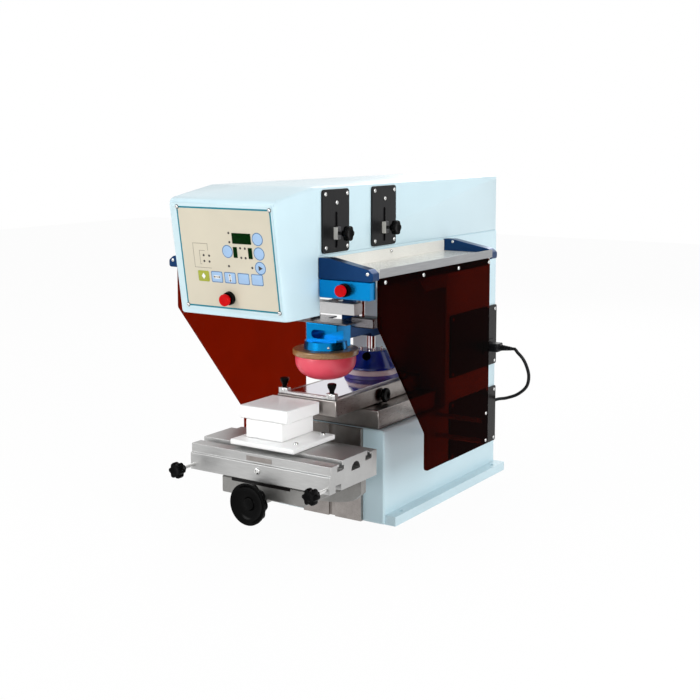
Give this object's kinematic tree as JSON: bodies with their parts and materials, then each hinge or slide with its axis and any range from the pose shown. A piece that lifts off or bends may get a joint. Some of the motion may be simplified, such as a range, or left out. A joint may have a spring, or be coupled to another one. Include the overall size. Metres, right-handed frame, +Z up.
{
  "type": "pad printing machine",
  "caption": "Bench pad printing machine: sealed ink cup and soft pad on a sliding carriage, T-slot table on a lifting knee, smoked side covers, tool trays and a mains cord.",
  "frame": {"origin": "bench level, under the middle of the machine's outline from above, its cord left out", "axes": "+Z up, the operator stands on the -Y side, +X is the operator's right"},
  "size_m": [0.4386, 0.9235, 0.64],
  "materials": {
    "frame_paint": "light blue powder paint, semi-gloss, fine orange peel",
    "tray_enamel": "warm white enamel on folded sheet",
    "black_sheet": "black satin paint on flat plate",
    "blue_anodising": "glossy blue anodised aluminium",
    "slate_anodising": "dark grey anodised aluminium",
    "machined_aluminium": "milled aluminium with a fine lengthwise grain",
    "cream_panel": "cream keypad film, satin",
    "red_plastic": "glossy red moulded caps",
    "smoked_acrylic": "clear red-brown acrylic sheet, polished",
    "black_plastic": "black moulded phenolic, satin",
    "ground_steel": "surface-ground steel",
    "polished_steel": "lapped and polished steel plate",
    "black_steel": "blackened steel plate",
    "cast_knee": "machined grey casting",
    "hard_chrome": "hard chrome, ground",
    "white_nylon": "milled white nylon",
    "cup_white": "white doctoring ring",
    "cup_blue": "blue ink cup, glossy",
    "varnished_wood": "varnished beech ply",
    "pad_silicone": "smooth pink-red silicone rubber",
    "cord_rubber": "black flexible rubber"
  },
  "bodies": {
    "frame": {"main_frame": "frame_paint", "arm_beam": "frame_paint", "top_hood": "frame_paint", "tray_left": "tray_enamel", "tray_right": "tray_enamel", "power_panel": "black_sheet", "lower_panel": "black_sheet", "stop_plate_front": "black_sheet", "stop_plate_rear": "black_sheet", "tray_bracket_front_left": "blue_anodising", "tray_bracket_front_right": "blue_anodising", "tray_bracket_rear_left": "blue_anodising", "tray_bracket_rear_right": "blue_anodising", "button_box": "blue_anodising", "stroke_cylinder": "machined_aluminium", "control_panel": "cream_panel", "side_cover_left": "smoked_acrylic", "side_cover_right": "smoked_acrylic", "slide_ways": "ground_steel", "cliche_base": "ground_steel", "cliche_bed": "ground_steel", "clamp_bar": "ground_steel", "cliche_plate": "polished_steel", "guide_rod_left": "hard_chrome", "guide_rod_right": "hard_chrome", "power_plug": "cord_rubber", "cord_lead": "cord_rubber", "cord_coil": "cord_rubber", "wall_plug": "cord_rubber"},
    "carriage": {"carriage_block": "machined_aluminium", "press_cylinder": "machined_aluminium", "cup_arm": "blue_anodising", "cup_post": "ground_steel"},
    "pad_press": {"press_plate": "slate_anodising", "press_rod_left": "hard_chrome", "press_rod_right": "hard_chrome", "press_yoke": "machined_aluminium", "pad_holder": "blue_anodising", "pad_backing": "varnished_wood", "print_pad": "pad_silicone"},
    "ink_cup": {"cup_ring": "cup_white", "cup_dome": "cup_blue"},
    "knee": {"knee": "cast_knee"},
    "handwheel": {"handwheel": "black_plastic"},
    "saddle": {"saddle": "black_steel"},
    "table": {"t_slot_table": "machined_aluminium", "jig_plate": "white_nylon", "jig_block": "white_nylon", "jig_cap": "white_nylon"},
    "table_knob_left": {"table_knob_left": "black_plastic"},
    "table_knob_right": {"table_knob_right": "black_plastic"},
    "stop_block_front": {"stop_block_front": "ground_steel"},
    "stop_block_rear": {"stop_block_rear": "ground_steel"},
    "stop_knob_front": {"stop_knob_front": "black_plastic"},
    "stop_knob_rear": {"stop_knob_rear": "black_plastic"},
    "panel_button": {"panel_button": "red_plastic"},
    "head_button": {"head_button": "red_plastic"},
    "thumb_screw_left": {"thumb_screw_left": "black_plastic"},
    "thumb_screw_right": {"thumb_screw_right": "black_plastic"},
    "bed_knob": {"bed_knob": "black_plastic"}
  },
  "joints": [
    {"name": "carriage_slide", "type": "slide", "parent": "frame", "child": "carriage", "axis": [0, -1, 0], "range_m": [0, 0.125]},
    {"name": "press_slide", "type": "slide", "parent": "carriage", "child": "pad_press", "axis": [0, 0, -1], "range_m": [0, 0.02]},
    {"name": "cup_spin", "type": "hinge", "parent": "carriage", "child": "ink_cup", "pos_m": [0, 0.07057, 0.25], "axis": [0, 0, 1], "continuous": true},
    {"name": "knee_slide", "type": "slide", "parent": "frame", "child": "knee", "axis": [0, 0, 1], "range_m": [-0.04, 0.005]},
    {"name": "handwheel_spin", "type": "hinge", "parent": "knee", "child": "handwheel", "pos_m": [0, -0.33493, 0.0915], "axis": [0, -1, 0], "range_deg": [-360, 2880]},
    {"name": "saddle_slide", "type": "slide", "parent": "knee", "child": "saddle", "axis": [0, -1, 0], "range_m": [0, 0.015]},
    {"name": "table_slide", "type": "slide", "parent": "saddle", "child": "table", "axis": [1, 0, 0], "range_m": [-0.03, 0.03]},
    {"name": "table_clamp_left", "type": "hinge", "parent": "table", "child": "table_knob_left", "pos_m": [-0.145, -0.33143, 0.1335], "axis": [0, -1, 0], "range_deg": [0, 180]},
    {"name": "table_clamp_right", "type": "hinge", "parent": "table", "child": "table_knob_right", "pos_m": [0.145, -0.33143, 0.1335], "axis": [0, -1, 0], "range_deg": [0, 180]},
    {"name": "stop_slide_front", "type": "slide", "parent": "frame", "child": "stop_block_front", "axis": [0, 0, 1], "range_m": [-0.014, 0.014]},
    {"name": "stop_clamp_front", "type": "hinge", "parent": "stop_block_front", "child": "stop_knob_front", "pos_m": [0.1289, -0.22643, 0.56], "axis": [1, 0, 0], "range_deg": [0, 360]},
    {"name": "stop_slide_rear", "type": "slide", "parent": "frame", "child": "stop_block_rear", "axis": [0, 0, 1], "range_m": [-0.014, 0.014]},
    {"name": "stop_clamp_rear", "type": "hinge", "parent": "stop_block_rear", "child": "stop_knob_rear", "pos_m": [0.1289, -0.06943, 0.56], "axis": [1, 0, 0], "range_deg": [0, 360]},
    {"name": "panel_push", "type": "slide", "parent": "frame", "child": "panel_button", "axis": [0, 0.9878, 0.1559], "range_m": [0, 0.004], "stiffness_N_per_m": 300},
    {"name": "head_push", "type": "slide", "parent": "frame", "child": "head_button", "axis": [0, 1, 0], "range_m": [0, 0.004], "stiffness_N_per_m": 300},
    {"name": "cliche_clamp_left", "type": "hinge", "parent": "frame", "child": "thumb_screw_left", "pos_m": [-0.053, -0.14943, 0.2601], "axis": [0, 0, 1], "range_deg": [0, 360]},
    {"name": "cliche_clamp_right", "type": "hinge", "parent": "frame", "child": "thumb_screw_right", "pos_m": [0.053, -0.14943, 0.2601], "axis": [0, 0, 1], "range_deg": [0, 360]},
    {"name": "bed_adjust", "type": "hinge", "parent": "frame", "child": "bed_knob", "pos_m": [0.0663, 0.00407, 0.2312], "axis": [1, 0, 0], "range_deg": [-180, 180]}
  ],
  "couplings": [
    {"joint": "handwheel_spin", "follows": "knee_slide", "rad_per_m": -1256.6}
  ]
}
